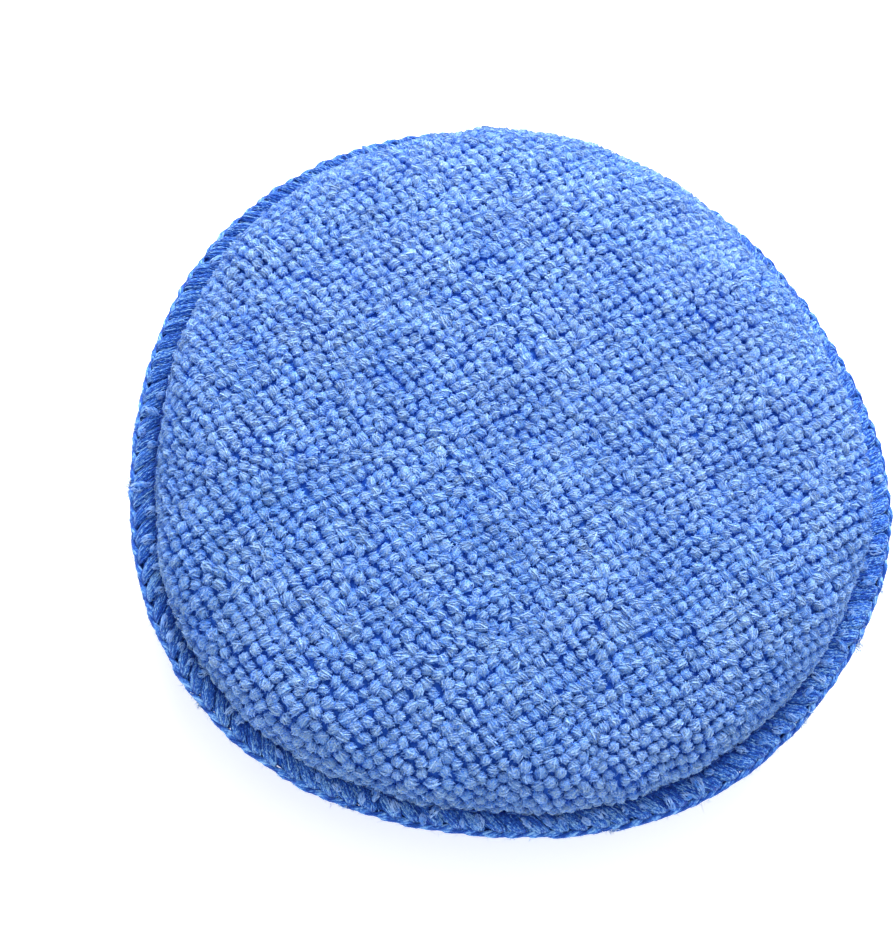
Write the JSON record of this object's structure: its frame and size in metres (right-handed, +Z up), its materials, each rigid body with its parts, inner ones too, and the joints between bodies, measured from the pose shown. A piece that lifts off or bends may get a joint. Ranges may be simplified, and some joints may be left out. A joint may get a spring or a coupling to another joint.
{
  "type": "round hand polishing pad",
  "caption": "Round domed hand pad for waxing and polishing: foam core between two looped-pile cloth covers, joined by an overlocked edge.",
  "frame": {"origin": "middle of the face of the back cover, which the pad rests on", "axes": "+Z up through the thickness, from the back cover to the working face; X and Y are equal, because the pad is round"},
  "size_m": [0.13, 0.13, 0.032],
  "materials": {
    "looped_cloth": "cornflower blue microfibre with short looped pile",
    "thread": "deeper blue textured polyester overlock thread, matt with a soft sheen",
    "foam": "pale open-cell polyurethane sponge"
  },
  "bodies": {
    "back": {"back_cover": "looped_cloth", "foam_core": "foam"},
    "seam": {"needle_thread": "thread", "upper_looper_thread": "thread", "lower_looper_thread": "thread"},
    "face": {"front_cover": "looped_cloth"}
  },
  "joints": [
    {"name": "face_press", "type": "slide", "parent": "back", "child": "face", "axis": [0, 0, -1], "range_m": [0, 0.01], "stiffness_N_per_m": 3000, "deforming": ["front_cover", "foam_core"]},
    {"name": "seam_sink", "type": "slide", "parent": "back", "child": "seam", "axis": [0, 0, -1], "range_m": [0, 0.005], "deforming": ["back_cover"]}
  ],
  "couplings": [
    {"joint": "seam_sink", "follows": "face_press", "ratio": 0.5}
  ]
}
